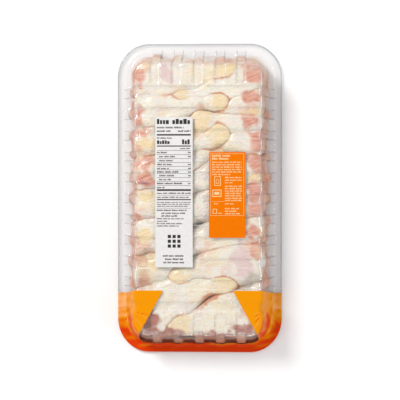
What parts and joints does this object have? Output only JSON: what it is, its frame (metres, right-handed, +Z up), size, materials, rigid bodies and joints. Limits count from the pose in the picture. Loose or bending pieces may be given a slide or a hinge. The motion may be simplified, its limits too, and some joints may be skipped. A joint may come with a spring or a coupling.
{
  "type": "tray pack of raw chicken drumsticks",
  "caption": "Sealed clear ribbed tray of raw chicken drumsticks, lying film side down under shrunk film with an orange printed end and two plain printed panels.",
  "frame": {"origin": "middle of the underside of the lid film, on the surface that the pack rests on", "axes": "+X across the pack, +Y along it, away from the printed end, +Z up, out of the tray's base"},
  "size_m": [0.1996, 0.3754, 0.0615],
  "materials": {
    "clear_tray": "clear, glossy",
    "clear_film": "clear film, glossy",
    "orange_film": "orange printed film, glossy",
    "white_print": "white print",
    "orange_print": "orange print",
    "chicken": "moist raw skin and flesh"
  },
  "bodies": {
    "root": {"tray": "clear_tray", "lid_film": "clear_film", "clear_film": "clear_film", "printed_film": "orange_film", "white_panel": "white_print", "orange_panel": "orange_print", "drumstick_left_1": "chicken", "drumstick_left_2": "chicken", "drumstick_left_3": "chicken", "drumstick_left_4": "chicken", "drumstick_left_5": "chicken", "drumstick_left_6": "chicken", "drumstick_left_7": "chicken", "drumstick_left_8": "chicken", "drumstick_right_1": "chicken", "drumstick_right_2": "chicken", "drumstick_right_3": "chicken", "drumstick_right_4": "chicken", "drumstick_right_5": "chicken", "drumstick_right_6": "chicken", "drumstick_right_7": "chicken", "drumstick_right_8": "chicken", "drumstick_right_9": "chicken", "drumstick_right_10": "chicken"}
  },
  "joints": []
}
